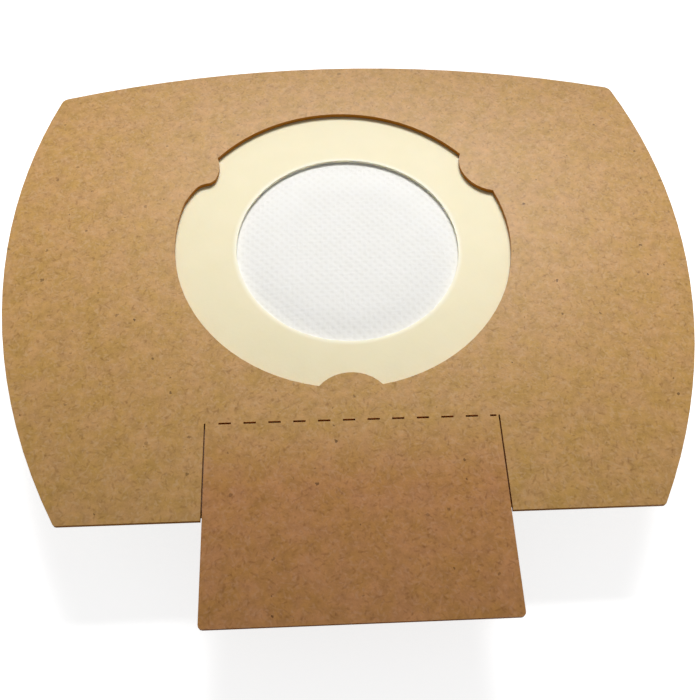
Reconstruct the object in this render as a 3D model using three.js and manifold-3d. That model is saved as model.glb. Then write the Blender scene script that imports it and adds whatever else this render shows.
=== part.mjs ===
// Vacuum cleaner dust bag, new and folded flat behind its collar.
// A die-cut kraft board collar with a pull tab, a rubber seal, a second board and a white fleece bag.
// Millimetres, +Z up. The origin is on the floor, under the middle of the collar's bounding box.

import * as THREE from "three";
import { mergeVertices } from "three/addons/utils/BufferGeometryUtils.js";
import ManifoldModule from "manifold-3d";

const solids = await ManifoldModule();
solids.setup();

// Collar outline, from the centre of the inlet hole, with the tab towards -Y
const collarWidth = 153;
const sideRadius = 132;
const widestY = 0.8;
const archTopY = 54;
const archRadius = 271;
const frontEdgeY = -65.5;
const backCornerRadius = 2;
const frontCornerRadius = 0.6;
// The outline was cut a little off the inlet's axis, and the arch peaks a little to one side
const outlineShift = 1.2;
const archShift = 2.3;

// Pull tab, part of the same board between two slits
const tabWidth = 59.3;
const tabReach = 20.1;
const tabCornerRadius = 0.8;
const slitWidth = 0.3;
const foldLineY = -45.4;

// Perforation along the tab's fold line, cut from the left slit to the right one
const cutLength = 2.5;
const cutPitch = 5;
const cutWidth = 0.4;
const cutLead = 2.6;
const cutEndWeb = 0.4;

// Inlet hole, with lugs that key it to the inlet stub
const inletDiameter = 76.3;
const lugCount = 3;
const firstLugAngle = 30;
const lugReach = 3.6;
const lugHalfAngle = 10;
// The second lug's lower shoulder tore in the cutting: degrees past its axis, and board left there
const tornLug = 1;
const tornShoulder = [
  [1, 3.15],
  [4, 1.3],
  [8, 0.55],
  [13, 0],
];

// Layers under the collar, with a thin line of glue between them
const boardThickness = 1;
const glueLine = 0.1;
const sealThickness = 0.8;
const sealHoleDiameter = 50.5;
const sealHoleX = 0.9;
const sealHoleY = -1.2;
const sealInset = 1;
const backingThickness = 1;
const backingInset = 6;
const backingFrontInset = 1.5;
const backingHoleMargin = 1.5;

// Fleece bag: two walls welded round the edge, both sides folded under, then folded in three panels
const fleeceThickness = 0.6;
const weldPress = 0.65;
const weldWidth = 8;
const weldStep = 1;
const wallGap = 0.3;
const flapGap = 0.3;
const panelGap = 0.8;
const chamberHeight = 3;
const chamberRamp = 9;
const foldedWidth = 116;
const flapSpace = 12;
const frontMargin = 8.5;
const backMargin = 7.5;
const lastPanelShort = 6;
const mouthMargin = 1;

// Facets: the most that a chord may leave its arc, and the steps round the bag's folds
const chordError = 0.03;
const foldSteps = 10;
const flapBendSteps = 6;
const rampSteps = 4;

// Sizes that follow from those above
const inletRadius = inletDiameter / 2;
const backingHoleRadius = inletRadius + backingHoleMargin;
const mouthRadius = backingHoleRadius + mouthMargin;
const tabEndY = frontEdgeY - tabReach;
const pressedWall = fleeceThickness * weldPress;
const flatPair = 2 * fleeceThickness + wallGap;
const foldedThickness = 2 * flatPair + flapGap;
const openThickness = foldedThickness + chamberHeight - wallGap;
const backFoldRadius = (openThickness - foldedThickness + panelGap) / 2;
const frontFoldRadius = panelGap / 2;
const bagHeight = 3 * foldedThickness + 2 * backFoldRadius + 2 * frontFoldRadius;

// Heights of the layers above the floor
const bagTopZ = bagHeight;
const backingZ = bagTopZ + glueLine;
const sealZ = backingZ + backingThickness + glueLine;
const collarZ = sealZ + sealThickness + glueLine;

// Points along an arc from one angle to another, turning whichever way the second angle lies
function arc(x, y, radius, from, to) {
  const step = 2 * Math.acos(1 - Math.min(chordError / radius, 0.3));
  const count = Math.max(2, Math.ceil(Math.abs(to - from) / step));
  return Array.from({ length: count + 1 }, (_, i) => {
    const angle = from + ((to - from) * i) / count;
    return new THREE.Vector2(x + radius * Math.cos(angle), y + radius * Math.sin(angle));
  });
}

// The centre of a circle at given distances from two points, on the left of the line between them
function meet(a, fromA, b, fromB) {
  const line = b.clone().sub(a);
  const length = line.length();
  const along = (length * length + fromA * fromA - fromB * fromB) / (2 * length);
  const aside = Math.sqrt(fromA * fromA - along * along);
  const unit = line.divideScalar(length);
  return new THREE.Vector2(a.x + unit.x * along - unit.y * aside, a.y + unit.y * along + unit.x * aside);
}

function angleFrom(centre, point) {
  return Math.atan2(point.y - centre.y, point.x - centre.x);
}

function positive(angle) {
  return angle < 0 ? angle + 2 * Math.PI : angle;
}

// A closed outline without the points that two of its arcs share
function closed(points) {
  return points.filter((p, i) => p.distanceTo(points[(i + 1) % points.length]) > 1e-4);
}

// The collar's outline drawn in by an inset, anticlockwise from the front edge's right end to its left
function outline(inset, frontInset) {
  const left = new THREE.Vector2(outlineShift - collarWidth / 2 + sideRadius, widestY);
  const right = new THREE.Vector2(outlineShift + collarWidth / 2 - sideRadius, widestY);
  const arch = new THREE.Vector2(outlineShift + archShift, archTopY - archRadius);
  const side = sideRadius - inset;
  const top = archRadius - inset;
  const front = frontEdgeY + frontInset;
  const back = backCornerRadius;
  const corner = frontCornerRadius;

  const rise = front + corner - widestY;
  const reach = Math.sqrt((side - corner) ** 2 - rise ** 2);
  const frontRight = new THREE.Vector2(right.x + reach, front + corner);
  const frontLeft = new THREE.Vector2(left.x - reach, front + corner);
  const backRight = meet(right, side - back, arch, top - back);
  const backLeft = meet(arch, top - back, left, side - back);

  const rightStart = angleFrom(right, frontRight);
  const rightEnd = angleFrom(right, backRight);
  const topStart = angleFrom(arch, backRight);
  const topEnd = positive(angleFrom(arch, backLeft));
  const leftStart = positive(angleFrom(left, backLeft));
  const leftEnd = positive(angleFrom(left, frontLeft));
  return [
    ...arc(frontRight.x, frontRight.y, corner, -Math.PI / 2, rightStart),
    ...arc(right.x, right.y, side, rightStart, rightEnd),
    ...arc(backRight.x, backRight.y, back, rightEnd, topStart),
    ...arc(arch.x, arch.y, top, topStart, topEnd),
    ...arc(backLeft.x, backLeft.y, back, topEnd, leftStart),
    ...arc(left.x, left.y, side, leftStart, leftEnd),
    ...arc(frontLeft.x, frontLeft.y, corner, leftEnd, 1.5 * Math.PI),
  ];
}

// The front edge from left to right: down one slit's sides, round the tab and up the other slit
function tabOutline() {
  const point = (x, y) => new THREE.Vector2(x, y);
  const half = tabWidth / 2;
  const outer = half + slitWidth;
  const slitTop = foldLineY;
  const end = half - tabCornerRadius;
  const low = tabEndY + tabCornerRadius;
  return [
    point(-outer, frontEdgeY),
    ...arc(-half - slitWidth / 2, slitTop, slitWidth / 2, Math.PI, 0),
    ...arc(-end, low, tabCornerRadius, Math.PI, 1.5 * Math.PI),
    ...arc(end, low, tabCornerRadius, -Math.PI / 2, 0),
    ...arc(half + slitWidth / 2, slitTop, slitWidth / 2, Math.PI, 0),
    point(outer, frontEdgeY),
  ];
}

// The inlet hole with its lugs: each lug is an arc that bulges inwards from the hole's circle
function inletOutline() {
  const tip = inletRadius - lugReach;
  const half = THREE.MathUtils.degToRad(lugHalfAngle);
  const span = 2 * (inletRadius * Math.cos(half) - tip);
  const centreAt = (inletRadius ** 2 - tip ** 2) / span;
  const polar = (radius, angle) => new THREE.Vector2(radius * Math.cos(angle), radius * Math.sin(angle));
  const points = [];
  for (let i = 0; i < lugCount; i++) {
    const axis = THREE.MathUtils.degToRad(firstLugAngle + (360 / lugCount) * i);
    const next = axis + (2 * Math.PI) / lugCount;
    const centre = polar(centreAt, axis);
    const swing = angleFrom(polar(centreAt, 0), polar(inletRadius, half));
    const lug = arc(centre.x, centre.y, centreAt - tip, axis - swing + 2 * Math.PI, axis + swing);
    if (i === tornLug) {
      const torn = tornShoulder.map(([past, left]) =>
        polar(inletRadius - left, axis + THREE.MathUtils.degToRad(past)),
      );
      const tornEnd = axis + THREE.MathUtils.degToRad(tornShoulder.at(-1)[0]);
      points.push(...lug.slice(0, lug.length / 2), ...new THREE.SplineCurve(torn).getPoints(12));
      points.push(...arc(0, 0, inletRadius, tornEnd, next - half));
    } else {
      points.push(...lug, ...arc(0, 0, inletRadius, axis + half, next - half));
    }
  }
  return points;
}

// The perforation's blades, at an even pitch until the right slit stops them
function perforationBlades() {
  const blades = [];
  const last = tabWidth / 2 - cutEndWeb;
  for (let x = cutLead - tabWidth / 2; x < last - cutWidth; x += cutPitch) {
    const length = Math.min(cutLength, last - x);
    const blade = new THREE.BoxGeometry(length, cutWidth, 2 * boardThickness);
    blades.push(blade.translate(x + length / 2, foldLineY, boardThickness / 2));
  }
  return blades;
}

function circle(x, y, radius) {
  return arc(x, y, radius, 0, 2 * Math.PI);
}

// A flat sheet of one thickness, cut to an outline with holes
function sheet(points, holes, thickness) {
  const shape = new THREE.Shape(closed(points));
  shape.holes = holes.map((hole) => new THREE.Path(closed(hole)));
  return new THREE.ExtrudeGeometry(shape, { depth: thickness, bevelEnabled: false });
}

function collarBoard() {
  const board = solid(sheet([...outline(0, 0), ...tabOutline()], [inletOutline()], boardThickness));
  return geometryOf(perforationBlades().reduce((cut, blade) => cut.subtract(solid(blade)), board));
}

function sealMembrane() {
  const hole = circle(sealHoleX, sealHoleY, sealHoleDiameter / 2);
  return sheet(outline(backingInset + sealInset, backingFrontInset + sealInset), [hole], sealThickness);
}

function backingBoard() {
  return sheet(outline(backingInset, backingFrontInset), [circle(0, 0, backingHoleRadius)], backingThickness);
}

// One half of the folded bag's section, in x and in height under the top wall's outer face.
// The upper pair of walls turns round at the side into the flap's pair, which lies under it.
function outerHalf({ wall, gap, thickness, under }) {
  const bendX = foldedWidth / 2 - thickness / 2;
  const lift = thickness - 4 * wall - gap - under;
  const pair = 2 * wall + under;
  const step = pair / 2 - pressedWall;
  const flapEnd = flapSpace / 2;
  const weld = flapEnd + weldWidth;
  const at = (x, up) => new THREE.Vector2(x, up);
  return [
    ...bend(bendX, -thickness / 2, thickness / 2, Math.PI / 2, -Math.PI / 2),
    at(weld, -thickness),
    at(weld - weldStep, step - thickness),
    at(flapEnd, step - thickness),
    at(flapEnd, pair - step - thickness),
    at(weld - weldStep, pair - step - thickness),
    at(weld, pair - thickness),
    ...bend(bendX, -2 * wall - gap - lift / 2, lift / 2, -Math.PI / 2, Math.PI / 2),
  ];
}

// The hollow between the walls, which stops short of the flap's weld
function hollowHalf({ wall, gap, thickness, under }) {
  const bendX = foldedWidth / 2 - thickness / 2;
  const lift = thickness - 4 * wall - gap - under;
  const end = flapSpace / 2 + weldWidth + weldStep;
  return [
    ...bend(bendX, -thickness / 2, thickness / 2 - wall, Math.PI / 2, -Math.PI / 2),
    new THREE.Vector2(end, wall - thickness),
    new THREE.Vector2(end, wall + under - thickness),
    ...bend(bendX, -2 * wall - gap - lift / 2, lift / 2 + wall, -Math.PI / 2, Math.PI / 2),
  ];
}

function bend(x, y, radius, from, to) {
  return Array.from({ length: flapBendSteps + 1 }, (_, i) => {
    const angle = from + ((to - from) * i) / flapBendSteps;
    return new THREE.Vector2(x + radius * Math.cos(angle), y + radius * Math.sin(angle));
  });
}

function bothHalves(half) {
  const mirrored = half.map((p) => new THREE.Vector2(-p.x, p.y)).reverse();
  return [...half, ...mirrored];
}

// The line that the top wall's outer face follows through the three panels, front end first.
// Each station has its place in Y and Z, the way the face looks, and how its section is there.
function stations() {
  const front = frontEdgeY + frontMargin;
  const back = archTopY - backMargin;
  const flat = { wall: fleeceThickness, gap: wallGap, under: wallGap, thickness: foldedThickness };
  const welded = { ...flat, wall: pressedWall, gap: 0, under: 0, seam: true };
  const list = [];
  const add = (y, z, angle, section) => list.push({ y, z, angle, section });
  const up = Math.PI / 2;

  // The upper panel, glued to the board and held open under the mouth
  const outerBack = foldedThickness + backFoldRadius;
  const backBendY = back - outerBack;
  const openFrom = front + weldWidth;
  add(front, 0, up, welded);
  add(openFrom - weldStep, 0, up, welded);
  for (const i of range(rampSteps)) add(openFrom + chamberRamp * i, 0, up, opened(flat, i));
  for (const i of range(rampSteps).reverse()) add(backBendY - chamberRamp * i, 0, up, opened(flat, i));

  // The back fold, with the flaps inside it, and the middle panel
  for (const i of range(foldSteps).slice(1)) {
    const angle = up - Math.PI * i;
    add(backBendY + outerBack * Math.cos(angle), outerBack * (Math.sin(angle) - 1), angle, flat);
  }

  // The front fold, with the flaps outside it, and the lowest panel
  const frontBendY = front + foldedThickness + frontFoldRadius;
  const frontBendZ = -2 * outerBack - frontFoldRadius;
  for (const i of range(foldSteps)) {
    const angle = up + Math.PI * i;
    const y = frontBendY + frontFoldRadius * Math.cos(angle);
    add(y, frontBendZ + frontFoldRadius * Math.sin(angle), angle - Math.PI, flat);
  }
  const lastZ = frontBendZ - frontFoldRadius;
  const lastY = back - lastPanelShort;
  add(lastY - weldWidth, lastZ, up, flat);
  add(lastY - weldWidth + weldStep, lastZ, up, welded);
  add(lastY, lastZ, up, welded);
  return list;
}

// Shares from 0 to 1 in even steps
function range(steps) {
  return Array.from({ length: steps + 1 }, (_, i) => i / steps);
}

// A section of the upper panel whose walls stand apart, by a share of the chamber's full height
function opened(flat, share) {
  const eased = share * share * (3 - 2 * share);
  const more = (chamberHeight - wallGap) * eased;
  return { ...flat, gap: flat.gap + more, thickness: flat.thickness + more };
}

// A closed skin through one ring of points at each station, with its two ends filled
function loft(places, half) {
  const rings = places.map(({ section }) => bothHalves(half(section)));
  const vertices = [];
  places.forEach(({ y, z, angle }, i) => {
    for (const p of rings[i]) vertices.push(p.x, y + p.y * Math.cos(angle), z + p.y * Math.sin(angle));
  });
  const count = rings[0].length;
  const faces = [];
  for (let i = 0; i + 1 < places.length; i++) {
    for (let j = 0; j < count; j++) {
      const a = i * count + j;
      const b = i * count + ((j + 1) % count);
      faces.push(a, b, b + count, a, b + count, a + count);
    }
  }
  const lastRing = (places.length - 1) * count;
  for (const [a, b, c] of THREE.ShapeUtils.triangulateShape(rings[0], [])) faces.push(a, b, c);
  for (const [a, b, c] of THREE.ShapeUtils.triangulateShape(rings.at(-1), [])) {
    faces.push(lastRing + a, lastRing + c, lastRing + b);
  }
  const geometry = new THREE.BufferGeometry();
  geometry.setAttribute("position", new THREE.Float32BufferAttribute(vertices, 3));
  geometry.setIndex(faces);
  return geometry;
}

function filterBag() {
  const places = stations();
  const skin = solid(loft(places, outerHalf));
  const hollow = solid(loft(places.filter(({ section }) => !section.seam), hollowHalf));
  const depth = fleeceThickness + wallGap / 2;
  const cutter = new THREE.CylinderGeometry(mouthRadius, mouthRadius, 2 * depth, 72);
  const mouth = solid(cutter.rotateX(Math.PI / 2));
  return geometryOf(skin.subtract(hollow).subtract(mouth));
}

// A closed geometry as a solid that can be cut
function solid(geometry) {
  const bare = new THREE.BufferGeometry();
  bare.setAttribute("position", geometry.getAttribute("position"));
  bare.setIndex(geometry.index);
  const merged = mergeVertices(bare, 1e-4);
  const vertProperties = merged.attributes.position.array;
  const triVerts = new Uint32Array(merged.index.array);
  return new solids.Manifold(new solids.Mesh({ numProp: 3, vertProperties, triVerts }));
}

function geometryOf(made) {
  const { vertProperties, triVerts } = made.getMesh();
  const geometry = new THREE.BufferGeometry();
  geometry.setAttribute("position", new THREE.BufferAttribute(new Float32Array(vertProperties), 3));
  geometry.setIndex(new THREE.BufferAttribute(new Uint32Array(triVerts), 1));
  return geometry;
}

function part(name, geometry, z, colour, roughness) {
  const material = new THREE.MeshStandardMaterial({ color: colour, roughness, metalness: 0 });
  const mesh = new THREE.Mesh(geometry, material);
  mesh.name = name;
  mesh.position.z = z;
  return mesh;
}

// The layers share the inlet's axis, which stands off the middle of the collar's bounding box
const layers = new THREE.Group();
layers.position.set(-outlineShift, -(archTopY + tabEndY) / 2, 0);
layers.add(
  part("collar_board", collarBoard(), collarZ, 0xc09a69, 0.85),
  part("seal_membrane", sealMembrane(), sealZ, 0xf1e6c9, 0.55),
  part("backing_board", backingBoard(), backingZ, 0xb8935f, 0.85),
  part("filter_bag", filterBag(), bagTopZ, 0xf5f2ea, 0.95),
);

const dustBag = new THREE.Group();
dustBag.add(layers);

export default dustBag;
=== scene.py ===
# Vacuum cleaner dust bag, new and folded flat behind its kraft board collar.
# The pieces follow in the order in which the real one is put together, from the bag up to the collar,
# and the table, the light and the camera come last.

import math

import bpy
import numpy as np
from mathutils import Matrix, Vector


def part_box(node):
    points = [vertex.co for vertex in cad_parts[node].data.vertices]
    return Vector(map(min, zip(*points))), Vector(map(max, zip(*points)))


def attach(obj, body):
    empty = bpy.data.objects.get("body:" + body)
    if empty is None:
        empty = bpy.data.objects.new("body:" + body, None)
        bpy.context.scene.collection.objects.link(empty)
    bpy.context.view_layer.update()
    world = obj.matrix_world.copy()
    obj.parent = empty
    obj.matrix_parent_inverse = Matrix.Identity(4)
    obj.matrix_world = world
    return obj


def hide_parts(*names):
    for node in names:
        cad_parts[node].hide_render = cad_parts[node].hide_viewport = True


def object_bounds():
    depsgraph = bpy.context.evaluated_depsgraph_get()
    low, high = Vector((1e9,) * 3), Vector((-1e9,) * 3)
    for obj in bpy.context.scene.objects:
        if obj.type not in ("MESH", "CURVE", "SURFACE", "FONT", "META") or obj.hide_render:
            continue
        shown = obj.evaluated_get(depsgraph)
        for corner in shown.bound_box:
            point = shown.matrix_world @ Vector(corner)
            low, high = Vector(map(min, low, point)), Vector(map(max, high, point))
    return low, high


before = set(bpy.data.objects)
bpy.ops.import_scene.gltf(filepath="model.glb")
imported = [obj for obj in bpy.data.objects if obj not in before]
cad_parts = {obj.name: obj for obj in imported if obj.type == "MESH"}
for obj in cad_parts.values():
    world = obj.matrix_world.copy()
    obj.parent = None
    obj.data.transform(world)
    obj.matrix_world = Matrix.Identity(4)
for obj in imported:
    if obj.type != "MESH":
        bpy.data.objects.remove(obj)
cad_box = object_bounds()


# The filter bag is two walls of white fleece, welded together all round. Both sides are folded under,
# and the strip that is left is folded in three panels. The upper panel is glued to the board, and the
# walls there stand apart where the inlet blows in. It lay pressed in its box, so it is slightly puffed.
inlet = Vector((-0.0012, 0.0158, 0))
wall = 0.0006
hollow = 0.0003  # between the two walls where they lie pressed together
flap_gap = 0.0003  # between a side that is folded under and the walls over it
flap_space = 0.012  # between the edges of the two folded sides
panel_gap = 0.0008  # between two panels
last_panel_short = 0.006  # from the last panel's end to the bag's back
chamber = 0.003  # between the two walls round the inlet
chamber_ramp = 0.009  # the length over which they part
weld = 0.008
mouth_radius = 0.0407
glued_radius = 0.052
mesh_step = 0.003

bag_low, bag_high = (Vector(corner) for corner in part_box("filter_bag"))
half_width = (bag_high.x - bag_low.x) / 2
pair = 2 * wall + hollow
folded = 2 * pair + flap_gap
back_radius = (chamber - hollow + panel_gap) / 2
front_radius = panel_gap / 2


def eased(share):
    """A share from 0 to 1 that starts and ends gently."""
    share = min(max(share, 0.0), 1.0)
    return share * share * (3 - 2 * share)


def spread(start, end):
    """Places from start to end, about a mesh step apart."""
    count = max(2, round(abs(end - start) / mesh_step))
    return [start + (end - start) * i / count for i in range(count + 1)]


def fold_path():
    """The way of the top wall's outer face through the panels: y, z, the angle it looks at, how far
    the chamber is open, and whether the two walls are welded there."""
    back_steps, front_steps = 9, 8
    outer = folded + back_radius
    back_bend = bag_high.y - outer
    front_bend = bag_low.y + folded + front_radius
    open_from = bag_low.y + weld
    up = math.pi / 2
    path = [(y, 0, up, 0, True) for y in spread(bag_low.y, open_from)[:-1]]
    for y in spread(open_from, back_bend):
        share = eased((y - open_from) / chamber_ramp) * eased((back_bend - y) / chamber_ramp)
        path.append((y, 0, up, share, y == open_from))
    for i in range(1, back_steps):
        angle = up - math.pi * i / back_steps
        path.append((back_bend + outer * math.cos(angle), outer * (math.sin(angle) - 1), angle, 0, False))
    path += [(y, -2 * outer, -up, 0, False) for y in spread(back_bend, front_bend)]
    middle = -2 * outer - front_radius
    for i in range(1, front_steps):
        angle = up + math.pi * i / front_steps
        y = front_bend + front_radius * math.cos(angle)
        path.append((y, middle + front_radius * math.sin(angle), angle - math.pi, 0, False))
    last = bag_high.y - last_panel_short
    lowest = middle - front_radius
    places = spread(front_bend, last - weld)
    path += [(y, lowest, up, 0, y == places[-1]) for y in places]
    path += [(y, lowest, up, 0, True) for y in spread(last - weld, last)[1:]]
    return path


def wall_rings(share):
    """The outer and the inner wall's middle line across the bag, from one flap's end to the other's,
    as x and height under the top wall's face, with a mark where the flap's weld holds both together."""
    turn_steps = 5
    gap = hollow + (chamber - hollow) * share
    thick = folded + gap - hollow
    lift = thick - 4 * wall - gap - hollow
    bend = half_width - thick / 2
    seam = flap_space / 2 + weld
    under = -thick + pair / 2
    outer = [(x, under) for x in spread(flap_space / 2, seam)[:-1]]
    inner, welded = list(outer), [True] * (len(outer) + 1)
    straight = max(2, round((half_width - folded / 2 - seam) / mesh_step))
    for i in range(straight + 1):
        x = seam + (bend - seam) * i / straight
        outer.append((x, -thick + wall / 2))
        inner.append((x, -thick + 1.5 * wall + hollow))
    for i in range(1, turn_steps):
        turn = math.pi * (i / turn_steps - 0.5)
        wide, tight = thick / 2 - wall / 2, lift / 2 + wall / 2
        outer.append((bend + wide * math.cos(turn), -thick / 2 + wide * math.sin(turn)))
        inner.append((bend + tight * math.cos(turn), -2 * wall - gap - lift / 2 + tight * math.sin(turn)))
    across = round((half_width - folded / 2) / mesh_step)
    for i in range(across + 1):
        outer.append((bend * (1 - i / across), -wall / 2))
        inner.append((bend * (1 - i / across), -1.5 * wall - gap))
    welded += [False] * (len(outer) - len(welded))
    mirror = np.array([-1, 1])
    outer, inner = np.array(outer), np.array(inner)
    outer = np.vstack([outer, (outer * mirror)[-2::-1]])
    inner = np.vstack([inner, (inner * mirror)[-2::-1]])
    return outer, inner, np.array(welded + welded[-2::-1])


def lengths_along(points):
    """How far each point lies from the first one, along its line."""
    steps = np.linalg.norm(np.diff(points, axis=0), axis=-1)
    return np.concatenate([np.zeros_like(steps[:1]), np.cumsum(steps, axis=0)])


outer_wall, inner_wall, welded = [], [], []
for y, z, angle, share, seam in fold_path():
    outer, inner, held = wall_rings(share)
    held = held | seam
    middle = (outer + inner) / 2
    cos, sin = math.cos(angle), math.sin(angle)
    for stations, ring in ((outer_wall, outer), (inner_wall, inner)):
        ring = np.where(held[:, None], middle, ring)
        x = inlet.x + ring[:, 0]
        stations.append(np.column_stack([x, y + ring[:, 1] * cos, bag_high.z + z + ring[:, 1] * sin]))
    welded.append(held)
outer_wall, inner_wall, welded = np.array(outer_wall), np.array(inner_wall), np.array(welded)
rows, columns = welded.shape

# The cloth's own flat coordinates, in metres, which the fleece's pattern follows
across_flat = lengths_along(wall_rings(0)[0])
flat_width = across_flat[-1]
flat_length = lengths_along(np.array([station[:2] for station in fold_path()]))[-1]
flat_places = []
for line in (lengths_along(outer_wall), lengths_along(inner_wall)):
    along_flat = line * flat_length / line[-1]
    flat_places.append(np.dstack([np.broadcast_to(across_flat, along_flat.shape), along_flat]))

outer_index = np.arange(rows * columns).reshape(rows, columns)
inner_index = outer_index.copy()
inner_index[~welded] = rows * columns + np.arange((~welded).sum())
start = np.vstack([outer_wall.reshape(-1, 3), inner_wall[~welded]])


def quads(index, turned=False, skip=None):
    """The faces of a wall's grid, without those that skip marks."""
    found = []
    for i in range(rows - 1):
        for j in range(columns - 1):
            if skip is None or not skip[i, j]:
                ring = [index[i, j], index[i, j + 1], index[i + 1, j + 1], index[i + 1, j]]
                found.append([int(k) for k in (ring[::-1] if turned else ring)])
    return found


all_welded = welded[:-1, :-1] & welded[1:, :-1] & welded[:-1, 1:] & welded[1:, 1:]
outer_faces = quads(outer_index, turned=True)
inner_faces = quads(inner_index, skip=all_welded)


def puffed(points):
    """The folded bag after its walls have pushed apart a little in the box. The cloth is simulated
    twenty times larger, because its gaps are too fine for the simulation's least distance."""
    larger = 20
    frames = 16
    touching = 1e-5
    board_clearance = 0.0001
    mesh = bpy.data.meshes.new("bag_cloth")
    mesh.from_pydata((points * larger).tolist(), [], outer_faces + inner_faces)
    cloth_bag = bpy.data.objects.new("bag_cloth", mesh)
    bpy.context.collection.objects.link(cloth_bag)

    from_inlet = np.hypot(outer_wall[..., 0] - inlet.x, outer_wall[..., 1] - inlet.y)
    glued = (np.abs(outer_wall[..., 2] - bag_high.z + wall / 2) < touching) & (from_inlet < glued_radius)
    cloth_bag.vertex_groups.new(name="glued").add(outer_index[glued].tolist(), 1.0, "REPLACE")
    loose = outer_index[~welded].tolist() + inner_index[~welded].tolist()
    cloth_bag.vertex_groups.new(name="loose").add(loose, 1.0, "REPLACE")

    far = 6
    low, high = bag_low * larger, (bag_high + Vector((0, 0, board_clearance))) * larger
    walls = {
        "floor": [(-far, -far, 0), (far, -far, 0), (far, far, 0), (-far, far, 0)],
        "board": [(-far, far, high.z), (far, far, high.z), (far, -far, high.z), (-far, -far, high.z)],
        "front": [(-far, low.y, far), (far, low.y, far), (far, low.y, -far), (-far, low.y, -far)],
        "back": [(far, high.y, far), (-far, high.y, far), (-far, high.y, -far), (far, high.y, -far)],
        "left": [(low.x, far, far), (low.x, -far, far), (low.x, -far, -far), (low.x, far, -far)],
        "right": [(high.x, -far, far), (high.x, far, far), (high.x, far, -far), (high.x, -far, -far)],
    }
    box = []
    for name, corners in walls.items():
        panel_mesh = bpy.data.meshes.new("box_" + name)
        panel_mesh.from_pydata(corners, [], [(0, 1, 2, 3)])
        panel = bpy.data.objects.new("box_" + name, panel_mesh)
        bpy.context.collection.objects.link(panel)
        panel.modifiers.new("Collision", "COLLISION")
        panel.collision.thickness_outer = 0.002
        box.append(panel)

    cloth = cloth_bag.modifiers.new("Cloth", "CLOTH")
    cloth.settings.quality = 5
    cloth.settings.mass = 0.15
    cloth.settings.tension_stiffness = cloth.settings.compression_stiffness = 40
    cloth.settings.shear_stiffness = 20
    cloth.settings.bending_stiffness = 2
    cloth.settings.tension_damping = cloth.settings.compression_damping = 10
    cloth.settings.air_damping = 2
    cloth.settings.vertex_group_mass = "glued"
    cloth.settings.use_pressure = True
    cloth.settings.uniform_pressure_force = 0.8
    cloth.settings.vertex_group_pressure = "loose"
    cloth.settings.effector_weights.gravity = 0
    cloth.collision_settings.distance_min = 0.004
    cloth.collision_settings.use_self_collision = True
    cloth.collision_settings.self_distance_min = 0.012
    cloth.collision_settings.collision_quality = 2
    for moment in range(1, frames + 1):
        bpy.context.scene.frame_set(moment)
    settled = cloth_bag.evaluated_get(bpy.context.evaluated_depsgraph_get())
    found = np.empty(len(mesh.vertices) * 3)
    settled.data.vertices.foreach_get("co", found)
    bpy.context.scene.frame_set(1)
    for thing in [cloth_bag, *box]:
        bpy.data.objects.remove(thing)
    found = found.reshape(-1, 3) / larger
    found[:, 2] = np.clip(found[:, 2], wall / 2, bag_high.z - wall / 2)
    return found


bag_points = puffed(start)

# Two shells, one for each wall, each with its own vertices. The outer one is cut out at the mouth
centres = (outer_wall[:-1, :-1] + outer_wall[1:, 1:]) / 2
from_inlet = np.hypot(centres[..., 0] - inlet.x, centres[..., 1] - inlet.y)
mouth = (centres[..., 2] > bag_high.z - wall) & (from_inlet < mouth_radius)
outer_points = bag_points[outer_index]
inner_points = bag_points[inner_index]
rim = np.zeros((rows, columns), int)
for i, j in ((0, 0), (0, 1), (1, 0), (1, 1)):
    rim[i:i + rows - 1, j:j + columns - 1] += mouth
on_rim = (rim > 0) & (rim < 4)
spoke = outer_points[on_rim][:, :2] - np.array(inlet)[:2]
spoke *= mouth_radius / np.linalg.norm(spoke, axis=1)[:, None]
outer_points[on_rim, :2] = spoke + np.array(inlet)[:2]

# The folds beneath press the other wall up inside the mouth. It rises through the backing board's hole
# to just under the seal, and swells a little further inside the seal's hole
raised_to, raised_slope, raised_height = 0.0385, 0.011, 0.0008
seal_hole = Vector((inlet.x + 0.0009, inlet.y - 0.0012, 0))
seal_hole_radius = 0.02525
bulge_margin, bulge_slope, bulge_height = 0.0016, 0.0042, 0.0007
from_inlet = np.hypot(outer_wall[..., 0] - inlet.x, outer_wall[..., 1] - inlet.y)
from_hole = np.hypot(outer_wall[..., 0] - seal_hole.x, outer_wall[..., 1] - seal_hole.y)
under_mouth = (outer_wall[..., 2] > bag_high.z - wall) & (from_inlet < mouth_radius)
for i, j in zip(*np.nonzero(under_mouth)):
    raised = eased((raised_to - from_inlet[i, j]) / raised_slope)
    bulged = eased((seal_hole_radius - bulge_margin - from_hole[i, j]) / bulge_slope)
    highest = bag_high.z + raised_height + bulge_height * bulged
    inner_points[i, j, 2] += (highest - inner_points[i, j, 2]) * raised

# The inner wall's flat coordinates lie a metre aside, so that its pattern differs from the outer one's
inner_wall_shift = 1.0
inner_start = rows * columns
bag_faces = np.array(quads(outer_index, turned=True, skip=mouth) + [
    [k + inner_start for k in face] for face in quads(outer_index, skip=all_welded)
])
bag_vertices = np.vstack([outer_points.reshape(-1, 3), inner_points.reshape(-1, 3)])
flat_places = np.vstack([
    flat_places[0].reshape(-1, 2),
    flat_places[1].reshape(-1, 2) + (inner_wall_shift, 0),
])
used, renumbered = np.unique(bag_faces, return_inverse=True)
bag_mesh = bpy.data.meshes.new("filter_bag_fleece")
bag_mesh.from_pydata(bag_vertices[used].tolist(), [], renumbered.reshape(bag_faces.shape).tolist())
bag_mesh.uv_layers.new(name="cloth").data.foreach_set("uv", flat_places[bag_faces.ravel()].ravel())
bag_mesh.shade_smooth()
bag = bpy.data.objects.new("filter_bag_fleece", bag_mesh)
bpy.context.collection.objects.link(bag)
thickness = bag.modifiers.new("Thickness", "SOLIDIFY")
thickness.thickness = wall
thickness.offset = 0


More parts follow.
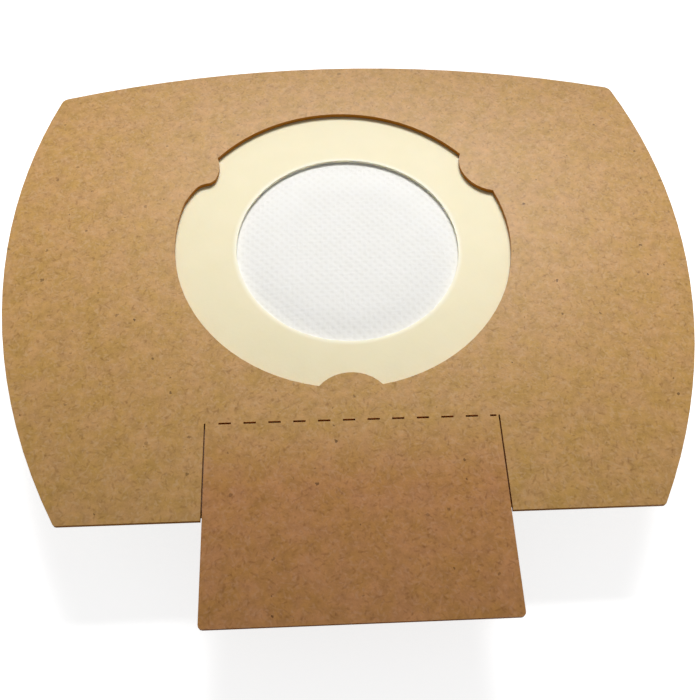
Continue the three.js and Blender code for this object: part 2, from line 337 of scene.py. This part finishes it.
def linear(code):
    """An sRGB hex colour as linear RGBA."""
    shares = [int(code[i:i + 2], 16) / 255 for i in (0, 2, 4)]
    return [c / 12.92 if c <= 0.04045 else ((c + 0.055) / 1.055) ** 2.4 for c in shares] + [1.0]


def add(tree, kind, inputs=None, **settings):
    """A node with its settings, and its inputs set or linked."""
    node = tree.nodes.new(kind)
    for name, value in settings.items():
        setattr(node, name, value)
    for key, value in (inputs or {}).items():
        if isinstance(value, bpy.types.NodeSocket):
            tree.links.new(value, node.inputs[key])
        else:
            node.inputs[key].default_value = value
    return node


def make_fleece():
    """Point-bonded polypropylene fleece: fibres laid at random and pressed together at small ovals. It
    gives a soft dull white, with long faint streaks and a fine regular grain. Along the welds the
    fibres are melted to a denser and glossier film."""
    fibre_length, fibre_width = 0.005, 0.00022  # a real fibre is a tenth as wide, too fine to show
    bond_pitch = 0.0016
    cloud_size = 0.006
    bond_relief = 0.0001
    before_weld, into_weld = 0.0002, 0.0006  # the film fades in over these
    fleece = bpy.data.materials.new("point_bonded_fleece")
    fleece.use_nodes = True
    tree = fleece.node_tree
    surface = tree.nodes["Principled BSDF"]
    place = add(tree, "ShaderNodeUVMap", uv_map="cloth").outputs["UV"]

    fibres = 0.0
    for degrees in (8, 52, 97, 141):
        turned = add(tree, "ShaderNodeMapping", {
            "Vector": place,
            "Location": (degrees, 2 * degrees, 0),
            "Rotation": (0, 0, math.radians(degrees)),
        })
        stretched = add(tree, "ShaderNodeVectorMath", {
            0: turned.outputs["Vector"], 1: (1 / fibre_length, 1 / fibre_width, 1),
        }, operation="MULTIPLY")
        web = add(tree, "ShaderNodeTexNoise", {
            "Vector": stretched.outputs["Vector"], "Scale": 1.0, "Detail": 1.0, "Distortion": 0.4,
        })
        strand = add(tree, "ShaderNodeMapRange", {
            "Value": web.outputs["Fac"], "From Min": 0.52, "From Max": 0.72,
        })
        fibres = add(tree, "ShaderNodeMath", {
            0: strand.outputs["Result"], 1: fibres,
        }, operation="MAXIMUM").outputs["Value"]

    lattice = add(tree, "ShaderNodeMapping", {
        "Vector": place, "Rotation": (0, 0, math.radians(45)), "Scale": (1 / bond_pitch,) * 3,
    })
    bond = add(tree, "ShaderNodeTexVoronoi", {
        "Vector": lattice.outputs["Vector"], "Scale": 1.0, "Randomness": 0.0,
    })
    bonds = add(tree, "ShaderNodeMapRange", {
        "Value": bond.outputs["Distance"], "From Min": 0.2, "From Max": 0.36, "To Min": 1.0, "To Max": 0.0,
    }).outputs["Result"]

    axes = add(tree, "ShaderNodeSeparateXYZ", {"Vector": place}).outputs
    in_film = 0.0
    for axis, length in (("X", flat_width), ("Y", flat_length)):
        centred = add(tree, "ShaderNodeMath", {0: axes[axis], 1: length / 2}, operation="SUBTRACT")
        from_middle = add(tree, "ShaderNodeMath", {0: centred.outputs["Value"]}, operation="ABSOLUTE")
        past_weld = add(tree, "ShaderNodeMapRange", {
            "Value": from_middle.outputs["Value"],
            "From Min": length / 2 - weld - before_weld, "From Max": length / 2 - weld + into_weld,
        })
        in_film = add(tree, "ShaderNodeMath", {
            0: past_weld.outputs["Result"], 1: in_film,
        }, operation="MAXIMUM").outputs["Value"]
    outer_wall_only = add(tree, "ShaderNodeMath", {
        0: axes["X"], 1: inner_wall_shift / 2,
    }, operation="LESS_THAN")
    in_film = add(tree, "ShaderNodeMath", {
        0: in_film, 1: outer_wall_only.outputs["Value"],
    }, operation="MULTIPLY").outputs["Value"]

    clouds = add(tree, "ShaderNodeTexNoise", {"Vector": place, "Scale": 1 / cloud_size, "Detail": 3.0})
    colour = add(tree, "ShaderNodeMix", {
        "Factor": clouds.outputs["Fac"], "A": linear("f8f6ee"), "B": linear("fffdf8"),
    }, data_type="RGBA").outputs[2]
    for pattern, strength, code in (
        (fibres, 0.5, "fffefb"), (bonds, 0.12, "e6e2d8"), (in_film, 1.0, "f0ede5"),
    ):
        share = add(tree, "ShaderNodeMath", {0: pattern, 1: strength}, operation="MULTIPLY")
        colour = add(tree, "ShaderNodeMix", {
            "Factor": share.outputs["Value"], "A": colour, "B": linear(code),
        }, data_type="RGBA").outputs[2]
    relief = add(tree, "ShaderNodeMath", {0: fibres, 1: bonds}, operation="SUBTRACT")
    bump = add(tree, "ShaderNodeBump", {
        "Height": relief.outputs["Value"], "Strength": 0.4, "Distance": bond_relief,
    })
    dullness = add(tree, "ShaderNodeMapRange", {"Value": in_film, "To Min": 0.92, "To Max": 0.5})
    tree.links.new(colour, surface.inputs["Base Color"])
    tree.links.new(dullness.outputs["Result"], surface.inputs["Roughness"])
    tree.links.new(bump.outputs["Normal"], surface.inputs["Normal"])
    surface.inputs["Subsurface Weight"].default_value = 0.15
    surface.inputs["Subsurface Radius"].default_value = (1.0, 0.95, 0.85)
    surface.inputs["Subsurface Scale"].default_value = 0.001
    surface.inputs["Specular IOR Level"].default_value = 0.25
    surface.inputs["Sheen Weight"].default_value = 0.15
    surface.inputs["Sheen Roughness"].default_value = 0.6
    return fleece


bag_mesh.materials.append(make_fleece())
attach(bag, "root")
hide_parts("filter_bag")


# Both side seams and both end seams are ultrasonic welds. The bars of the welding anvil melt the two walls
# to a film, and the fibres left between the bars stand as a row of low ribs across each seam.
rib_pitch = 0.0022
rib_size = (0.0056, 0.001, 0.0013)  # across the seam, along it, and out of it
rib_seed = 4


def seam_lines():
    """The middle line of each weld, with the ways across the seam and out of it at each point."""
    grid = bag_points[outer_index]
    steps = round(weld / mesh_step)
    inner = slice(steps + 1, -steps - 1)
    seams = (
        (grid[:, 1:steps].mean(axis=1), grid[:, steps] - grid[:, 0]),
        (grid[:, -steps:-1].mean(axis=1), grid[:, -1] - grid[:, -steps - 1]),
        (grid[1:steps, inner].mean(axis=0), grid[steps, inner] - grid[0, inner]),
        (grid[-steps:-1, inner].mean(axis=0), grid[-1, inner] - grid[-steps - 1, inner]),
    )
    points = np.vstack([middle for middle, _ in seams])
    across = np.vstack([way for _, way in seams])
    outward = np.vstack([np.cross(np.gradient(middle, axis=0), way) for middle, way in seams])
    edges, first = [], 0
    for middle, _ in seams:
        edges += [(k, k + 1) for k in range(first, first + len(middle) - 1)]
        first += len(middle)
    points[:, 2] = np.clip(points[:, 2], rib_size[2] / 2, bag_high.z - rib_size[2] / 2)
    lines = bpy.data.meshes.new("weld_lines")
    lines.from_pydata(points.tolist(), edges, [])
    lines.attributes.new("across", "FLOAT_VECTOR", "POINT").data.foreach_set("vector", across.ravel())
    lines.attributes.new("outward", "FLOAT_VECTOR", "POINT").data.foreach_set("vector", outward.ravel())
    return lines


def make_film():
    """Polypropylene melted and set again: a clouded white, denser than the fleece, with a soft gloss."""
    melt_size = 0.0011
    film = bpy.data.materials.new("melted_polypropylene")
    film.use_nodes = True
    tree = film.node_tree
    surface = tree.nodes["Principled BSDF"]
    place = add(tree, "ShaderNodeTexCoord").outputs["Object"]
    clouds = add(tree, "ShaderNodeTexNoise", {"Vector": place, "Scale": 1 / melt_size, "Detail": 3.0})
    body = add(tree, "ShaderNodeMix", {
        "Factor": clouds.outputs["Fac"], "A": linear("e4e1d8"), "B": linear("f6f4ee"),
    }, data_type="RGBA")
    gloss = add(tree, "ShaderNodeMapRange", {
        "Value": clouds.outputs["Fac"], "From Min": 0.3, "From Max": 0.7, "To Min": 0.4, "To Max": 0.6,
    })
    bump = add(tree, "ShaderNodeBump", {
        "Height": clouds.outputs["Fac"], "Strength": 0.3, "Distance": 0.0001,
    })
    tree.links.new(body.outputs[2], surface.inputs["Base Color"])
    tree.links.new(gloss.outputs["Result"], surface.inputs["Roughness"])
    tree.links.new(bump.outputs["Normal"], surface.inputs["Normal"])
    surface.inputs["IOR"].default_value = 1.49
    return film


def rib_nodes(film):
    """Geometry nodes that set a rib across each line at every pitch, each a little different in size."""
    tree = bpy.data.node_groups.new("weld_ribs", "GeometryNodeTree")
    sockets = tree.interface
    sockets.new_socket("Lines", in_out="INPUT", socket_type="NodeSocketGeometry")
    for name, kind in (
        ("Pitch", "NodeSocketFloat"), ("Rib Size", "NodeSocketVector"), ("Seed", "NodeSocketInt"),
    ):
        sockets.new_socket(name, in_out="INPUT", socket_type=kind)
    sockets.new_socket("Ribs", in_out="OUTPUT", socket_type="NodeSocketGeometry")
    given = add(tree, "NodeGroupInput").outputs
    curves = add(tree, "GeometryNodeMeshToCurve", {"Mesh": given["Lines"]})
    places = add(tree, "GeometryNodeResampleCurve", {
        "Curve": curves.outputs["Curve"], "Length": given["Pitch"],
    }, mode="LENGTH")
    across = add(tree, "GeometryNodeInputNamedAttribute", {"Name": "across"}, data_type="FLOAT_VECTOR")
    outward = add(tree, "GeometryNodeInputNamedAttribute", {"Name": "outward"}, data_type="FLOAT_VECTOR")
    along_seam = add(tree, "FunctionNodeAlignRotationToVector", {
        "Vector": across.outputs["Attribute"],
    }, axis="X")
    upright = add(tree, "FunctionNodeAlignRotationToVector", {
        "Rotation": along_seam.outputs["Rotation"], "Vector": outward.outputs["Attribute"],
    }, axis="Z", pivot_axis="X")
    uneven = add(tree, "FunctionNodeRandomValue", {
        "Min": (0.93, 0.9, 0.9), "Max": (1.03, 1.1, 1.05), "Seed": given["Seed"],
    }, data_type="FLOAT_VECTOR")
    size = add(tree, "ShaderNodeVectorMath", {
        0: given["Rib Size"], 1: uneven.outputs["Value"],
    }, operation="MULTIPLY")
    rib = add(tree, "GeometryNodeMeshUVSphere", {"Segments": 8, "Rings": 5, "Radius": 0.5})
    ribs = add(tree, "GeometryNodeInstanceOnPoints", {
        "Points": places.outputs["Curve"], "Instance": rib.outputs["Mesh"],
        "Rotation": upright.outputs["Rotation"], "Scale": size.outputs["Vector"],
    })
    solid = add(tree, "GeometryNodeRealizeInstances", {"Geometry": ribs.outputs["Instances"]})
    finished = add(tree, "GeometryNodeSetMaterial", {
        "Geometry": solid.outputs["Geometry"], "Material": film,
    })
    add(tree, "NodeGroupOutput", {"Ribs": finished.outputs["Geometry"]})
    return tree


weld_ribs = bpy.data.objects.new("weld_ribs", seam_lines())
bpy.context.collection.objects.link(weld_ribs)
ribbing = weld_ribs.modifiers.new("Ribs", "NODES")
ribbing.node_group = rib_nodes(make_film())
identifiers = {item.name: item.identifier for item in ribbing.node_group.interface.items_tree}
ribbing[identifiers["Pitch"]] = rib_pitch
ribbing[identifiers["Rib Size"]] = rib_size
ribbing[identifiers["Seed"]] = rib_seed
grown = weld_ribs.evaluated_get(bpy.context.evaluated_depsgraph_get())
rib_mesh = bpy.data.meshes.new_from_object(grown)
weld_ribs.modifiers.remove(ribbing)
weld_ribs.data = rib_mesh
rib_mesh.name = "weld_ribs"
rib_mesh.shade_smooth()

# The table and the backing board press flat what leans past the folded bag
rib_points = np.empty(len(rib_mesh.vertices) * 3)
rib_mesh.vertices.foreach_get("co", rib_points)
rib_points[2::3] = np.clip(rib_points[2::3], 0, bag_high.z)
rib_mesh.vertices.foreach_set("co", rib_points)
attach(weld_ribs, "root")


# The backing board is a plain kraft board of 1 mm. It is glued to the fleece round the mouth, and holds
# the seal against the collar from behind.
def make_kraft(name, tawny, olive, pale, deep, cut):
    """Recycled kraft board: wood fibres pressed flat, which gives soft clouds of two browns, blurred
    blotches about a millimetre wide, faint light and dark flecks in all directions, a few dark specks
    and a plainer cut edge. Its calendered face has a dull sheen towards the light."""
    fleck_length, fleck_width, fleck_fade = 0.0011, 0.00055, 0.16
    speck_cell, speck_raggedness = 0.0042, 0.0005
    largest_speck, speck_shake = 0.09, 0.16  # in cells
    face_relief = 0.0001
    kraft = bpy.data.materials.new(name)
    kraft.use_nodes = True
    tree = kraft.node_tree
    surface = tree.nodes["Principled BSDF"]
    place = add(tree, "ShaderNodeTexCoord").outputs["Object"]

    clouds, blotches, grain, ragged = (add(tree, "ShaderNodeTexNoise", {
        "Vector": place, "Scale": 1 / size, "Detail": detail, "Roughness": 0.55,
    }) for size, detail in ((0.0045, 3.0), (0.0015, 2.0), (0.0004, 1.0), (speck_raggedness, 0.0)))
    browning = add(tree, "ShaderNodeMapRange", {
        "Value": clouds.outputs["Fac"], "From Min": 0.35, "From Max": 0.65,
    })
    body = add(tree, "ShaderNodeMix", {
        "Factor": browning.outputs["Result"], "A": linear(tawny), "B": linear(olive),
    }, data_type="RGBA")
    coarse = add(tree, "ShaderNodeMapRange", {
        "Value": blotches.outputs["Fac"],
        "From Min": 0.25, "From Max": 0.75, "To Min": 0.86, "To Max": 1.14,
    })
    fine = add(tree, "ShaderNodeMapRange", {
        "Value": grain.outputs["Fac"],
        "From Min": 0.2, "From Max": 0.8, "To Min": -0.05, "To Max": 0.05,
    })
    tone = add(tree, "ShaderNodeMath", {
        0: coarse.outputs["Result"], 1: fine.outputs["Result"],
    }, operation="ADD")
    colour = add(tree, "ShaderNodeVectorMath", {
        0: body.outputs[2], "Scale": tone.outputs["Value"],
    }, operation="SCALE").outputs["Vector"]

    # Fibre bundles: the light ones and the dark ones each lie in three directions
    for code, share, rarity, angles in (
        (pale, 0.37, 0.64, (12, 70, 131)), (deep, 0.25, 0.68, (40, 101, 160)),
    ):
        for degrees in angles:
            turned = add(tree, "ShaderNodeMapping", {
                "Vector": place, "Rotation": (0, 0, math.radians(degrees)), "Location": (degrees, 0, 0),
            })
            stretched = add(tree, "ShaderNodeVectorMath", {
                0: turned.outputs["Vector"],
                1: (1 / fleck_length, 1 / fleck_width, 1 / fleck_width),
            }, operation="MULTIPLY")
            bundles = add(tree, "ShaderNodeTexNoise", {
                "Vector": stretched.outputs["Vector"], "Scale": 1.0, "Detail": 0.0, "Distortion": 0.1,
            })
            fleck = add(tree, "ShaderNodeMapRange", {
                "Value": bundles.outputs["Fac"],
                "From Min": rarity, "From Max": rarity + fleck_fade, "To Max": share,
            })
            colour = add(tree, "ShaderNodeMix", {
                "Factor": fleck.outputs["Result"], "A": colour, "B": linear(code),
            }, data_type="RGBA").outputs[2]

    # Bark specks: one to a cell at most, ragged, and most of them too small to see
    cells = add(tree, "ShaderNodeMapping", {"Vector": place, "Scale": (1 / speck_cell,) * 3})
    shaken = add(tree, "ShaderNodeVectorMath", {
        0: ragged.outputs["Color"], 1: (speck_shake, speck_shake, 0.0), 2: cells.outputs["Vector"],
    }, operation="MULTIPLY_ADD")
    speck = add(tree, "ShaderNodeTexVoronoi", {
        "Vector": shaken.outputs["Vector"], "Scale": 1.0,
    }, voronoi_dimensions="2D")
    drawn = add(tree, "ShaderNodeSeparateColor", {"Color": speck.outputs["Color"]})
    radius = add(tree, "ShaderNodeMapRange", {
        "Value": drawn.outputs["Red"], "From Min": 0.8, "To Max": largest_speck,
    })
    inside = add(tree, "ShaderNodeMath", {
        0: speck.outputs["Distance"], 1: radius.outputs["Result"],
    }, operation="LESS_THAN")
    darkness = add(tree, "ShaderNodeMapRange", {
        "Value": drawn.outputs["Green"], "To Min": 0.25, "To Max": 0.7,
    })
    speck_share = add(tree, "ShaderNodeMath", {
        0: inside.outputs["Value"], 1: darkness.outputs["Result"],
    }, operation="MULTIPLY")

    normal = add(tree, "ShaderNodeNewGeometry").outputs["True Normal"]
    up = add(tree, "ShaderNodeSeparateXYZ", {"Vector": normal}).outputs["Z"]
    flatness = add(tree, "ShaderNodeMath", {0: up}, operation="ABSOLUTE")
    on_edge = add(tree, "ShaderNodeMath", {0: flatness.outputs["Value"], 1: 0.5}, operation="LESS_THAN")
    for share, code in ((speck_share, "3f2a14"), (on_edge, cut)):
        colour = add(tree, "ShaderNodeMix", {
            "Factor": share.outputs["Value"], "A": colour, "B": linear(code),
        }, data_type="RGBA").outputs[2]
    relief = add(tree, "ShaderNodeMath", {
        0: grain.outputs["Fac"], 1: 0.5, 2: blotches.outputs["Fac"],
    }, operation="MULTIPLY_ADD")
    bump = add(tree, "ShaderNodeBump", {
        "Height": relief.outputs["Value"], "Strength": 0.3, "Distance": face_relief,
    })
    tree.links.new(colour, surface.inputs["Base Color"])
    tree.links.new(bump.outputs["Normal"], surface.inputs["Normal"])
    surface.inputs["Roughness"].default_value = 0.3
    surface.inputs["Specular IOR Level"].default_value = 0.09
    return kraft


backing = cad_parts["backing_board"]
backing.data.materials.clear()
backing.data.materials.append(make_kraft(
    "grey_kraft_board", tawny="a9855a", olive="a48a5e", pale="bda27c", deep="4a341c", cut="84694d",
))


# The seal is a sheet of cream latex with a round hole, held between the two boards. Hot-melt glue bonds it
# to the collar outside the window. Its brown there is also painted shade, dark enough to make the slits and
# perforations above it read as shaded lines. It stretches round the inlet stub.
def make_latex():
    """Cast natural latex: warm cream, faintly clouded by its filler and a little translucent, with a
    satin gloss. It turns paler towards the edge of the hole. Where the board covers it, it is brown with
    glue, a brown dark enough to be painted shade in the slits above it."""
    glue_shade_from = 0.0405
    lip = 0.0012
    latex = bpy.data.materials.new("cream_latex")
    latex.use_nodes = True
    tree = latex.node_tree
    surface = tree.nodes["Principled BSDF"]
    place = add(tree, "ShaderNodeTexCoord").outputs["Object"]

    flat = add(tree, "ShaderNodeVectorMath", {0: place, 1: (1, 1, 0)}, operation="MULTIPLY")
    from_hole, from_inlet_axis = (add(tree, "ShaderNodeVectorMath", {
        0: flat.outputs["Vector"], 1: centre,
    }, operation="DISTANCE").outputs["Value"] for centre in (seal_hole, inlet))
    clouds = add(tree, "ShaderNodeTexNoise", {"Vector": place, "Scale": 1 / 0.006, "Detail": 3.0})
    fine = add(tree, "ShaderNodeTexNoise", {"Vector": place, "Scale": 1 / 0.0007, "Detail": 2.0})
    body = add(tree, "ShaderNodeMix", {
        "Factor": clouds.outputs["Fac"], "A": linear("e3d7ae"), "B": linear("eaddb7"),
    }, data_type="RGBA")
    # Paler towards the edge of the hole, over the lip's width
    towards_rim = add(tree, "ShaderNodeMapRange", {
        "Value": from_hole, "From Min": seal_hole_radius, "From Max": seal_hole_radius + lip,
        "To Min": 1.0, "To Max": 0.0,
    }, interpolation_type="SMOOTHSTEP")
    lipped = add(tree, "ShaderNodeMix", {
        "Factor": towards_rim.outputs["Result"], "A": body.outputs[2], "B": linear("f0e8cf"),
    }, data_type="RGBA")
    # Brown glue beyond this radius. Its dark brown is also painted shade for the slits and perforations
    # above it
    smeared = add(tree, "ShaderNodeMath", {
        0: clouds.outputs["Fac"], 1: 0.002, 2: from_inlet_axis,
    }, operation="MULTIPLY_ADD")
    glued = add(tree, "ShaderNodeMath", {
        0: smeared.outputs["Value"], 1: glue_shade_from,
    }, operation="GREATER_THAN")
    whole = add(tree, "ShaderNodeMix", {
        "Factor": glued.outputs["Value"], "A": lipped.outputs[2], "B": linear("8a5a2c"),
    }, data_type="RGBA")
    bump = add(tree, "ShaderNodeBump", {
        "Height": fine.outputs["Fac"], "Strength": 0.2, "Distance": 0.00005,
    })
    tree.links.new(whole.outputs[2], surface.inputs["Base Color"])
    tree.links.new(bump.outputs["Normal"], surface.inputs["Normal"])
    surface.inputs["Roughness"].default_value = 0.5
    surface.inputs["IOR"].default_value = 1.52
    surface.inputs["Subsurface Weight"].default_value = 0.6
    surface.inputs["Subsurface Radius"].default_value = (1.0, 0.8, 0.5)
    surface.inputs["Subsurface Scale"].default_value = 0.0012
    return latex


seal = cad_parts["seal_membrane"]
seal.data.materials.clear()
seal.data.materials.append(make_latex())


# The collar is die-cut from one kraft board, with the inlet hole and its three lugs, the two slits and
# the perforated line on which the pull tab folds. It is glued on last, over the seal.
def redden_tab(kraft):
    """The redder tone of the tab, which comes in below its fold line and ends at the slits."""
    fold_line = inlet.y - 0.0454
    tab_half_width = 0.0298
    tone_length = 0.014
    tree = kraft.node_tree
    base = tree.nodes["Principled BSDF"].inputs["Base Color"]
    place = add(tree, "ShaderNodeTexCoord").outputs["Object"]
    axes = add(tree, "ShaderNodeSeparateXYZ", {"Vector": place}).outputs
    between_slits = add(tree, "ShaderNodeMath", {
        0: axes["X"], 1: inlet.x, 2: tab_half_width,
    }, operation="COMPARE")
    below_fold = add(tree, "ShaderNodeMapRange", {
        "Value": axes["Y"], "From Min": fold_line, "From Max": fold_line - tone_length,
    })
    on_tab = add(tree, "ShaderNodeMath", {
        0: between_slits.outputs["Value"], 1: below_fold.outputs["Result"],
    }, operation="MULTIPLY")
    redder = add(tree, "ShaderNodeMix", {
        "Factor": on_tab.outputs["Value"], "A": base.links[0].from_socket, "B": linear("f8e6e9"),
    }, data_type="RGBA", blend_type="MULTIPLY")
    tree.links.new(redder.outputs[2], base)


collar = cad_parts["collar_board"]
collar.data.materials.clear()
kraft_board = make_kraft(
    "kraft_board", tawny="c39661", olive="bb9151", pale="cea87a", deep="6b3e12", cut="b5741f",
)
redden_tab(kraft_board)
collar.data.materials.append(kraft_board)


# The table is a plain pale one, and shows as white. A wide soft lamp stands low behind the collar, so the
# far side is the brighter one, and the pale room lights the rest.
def make_table():
    """Matt white paint, lifted to white for the camera alone, so that it lights the object no more."""
    lift_to_white = 0.78
    pale = bpy.data.materials.new("pale_table")
    pale.use_nodes = True
    tree = pale.node_tree
    tree.nodes.clear()
    seen = add(tree, "ShaderNodeLightPath").outputs["Is Camera Ray"]
    matt = add(tree, "ShaderNodeBsdfDiffuse", {"Color": linear("e6e6e6")})
    lift = add(tree, "ShaderNodeMath", {0: seen, 1: lift_to_white}, operation="MULTIPLY")
    glow = add(tree, "ShaderNodeEmission", {"Color": (1, 1, 1, 1), "Strength": lift.outputs["Value"]})
    both = add(tree, "ShaderNodeAddShader", {0: matt.outputs["BSDF"], 1: glow.outputs["Emission"]})
    add(tree, "ShaderNodeOutputMaterial", {"Surface": both.outputs["Shader"]})
    return pale


reach = 3.0
table_mesh = bpy.data.meshes.new("table")
table_mesh.from_pydata([(-reach, -reach, 0), (reach, -reach, 0), (reach, reach, 0), (-reach, reach, 0)],
                       [], [(0, 1, 2, 3)])
table_mesh.materials.append(make_table())
table = bpy.data.objects.new("table", table_mesh)
bpy.context.collection.objects.link(table)

lamp_place, lamp_aim = Vector((0.038, 0.257, 0.313)), Vector((0.008, 0.022, 0.017))
lamp_data = bpy.data.lights.new("soft_lamp", "AREA")
lamp_data.shape = "RECTANGLE"
lamp_data.size, lamp_data.size_y = 0.5, 0.12
lamp_data.spread = math.radians(35)
lamp_data.energy = 0.238
lamp = bpy.data.objects.new("soft_lamp", lamp_data)
lamp.location = lamp_place
lamp.rotation_euler = (lamp_place - lamp_aim).to_track_quat("Z", "Y").to_euler()
bpy.context.collection.objects.link(lamp)

# The room shows white to the camera and in reflections, and lights the object at a fifth of that
room_level = 0.2
room_light = bpy.data.worlds.new("pale_room")
room_light.use_nodes = True
bpy.context.scene.world = room_light
tree = room_light.node_tree
tree.nodes.clear()
path = add(tree, "ShaderNodeLightPath")
white = add(tree, "ShaderNodeMath", {
    0: path.outputs["Is Camera Ray"], 1: path.outputs["Is Transmission Ray"],
}, operation="MAXIMUM")
white = add(tree, "ShaderNodeMath", {
    0: white.outputs["Value"], 1: path.outputs["Is Glossy Ray"],
}, operation="MAXIMUM")
level = add(tree, "ShaderNodeMapRange", {
    "Value": white.outputs["Value"], "To Min": room_level, "To Max": 1.0,
})
sky = add(tree, "ShaderNodeBackground", {"Color": (1, 1, 1, 1), "Strength": level.outputs["Result"]})
add(tree, "ShaderNodeOutputWorld", {"Surface": sky.outputs["Background"]})


# The camera stands close, a little to the left of the tab, and looks down at about 60 degrees. Its place,
# turn and focal length were fitted to the outlines in the photograph.
azimuth, elevation, roll = math.radians(-4.881), math.radians(60.503), math.radians(-2.664)
focal_pixels, picture_pixels, sensor = 878.7, 700, 36.0
aim = inlet + Vector((0.00013, -0.02926, cad_box[1][2]))
distance = 0.18548
away = Vector((math.sin(azimuth) * math.cos(elevation), -math.cos(azimuth) * math.cos(elevation),
               math.sin(elevation)))
right = Vector((math.cos(azimuth), math.sin(azimuth), 0))
above = away.cross(right)
across = right * math.cos(roll) - above * math.sin(roll)
upward = right * math.sin(roll) + above * math.cos(roll)
lens = bpy.data.cameras.new("camera")
lens.sensor_width = sensor
lens.lens = sensor * focal_pixels / picture_pixels
lens.clip_start = 0.01
camera = bpy.data.objects.new("camera", lens)
place = aim + away * distance
camera.matrix_world = Matrix([
    (across.x, upward.x, away.x, place.x),
    (across.y, upward.y, away.y, place.y),
    (across.z, upward.z, away.z, place.z),
    (0, 0, 0, 1),
])
bpy.context.collection.objects.link(camera)
bpy.context.scene.camera = camera
bpy.context.scene.view_settings.view_transform = "Standard"
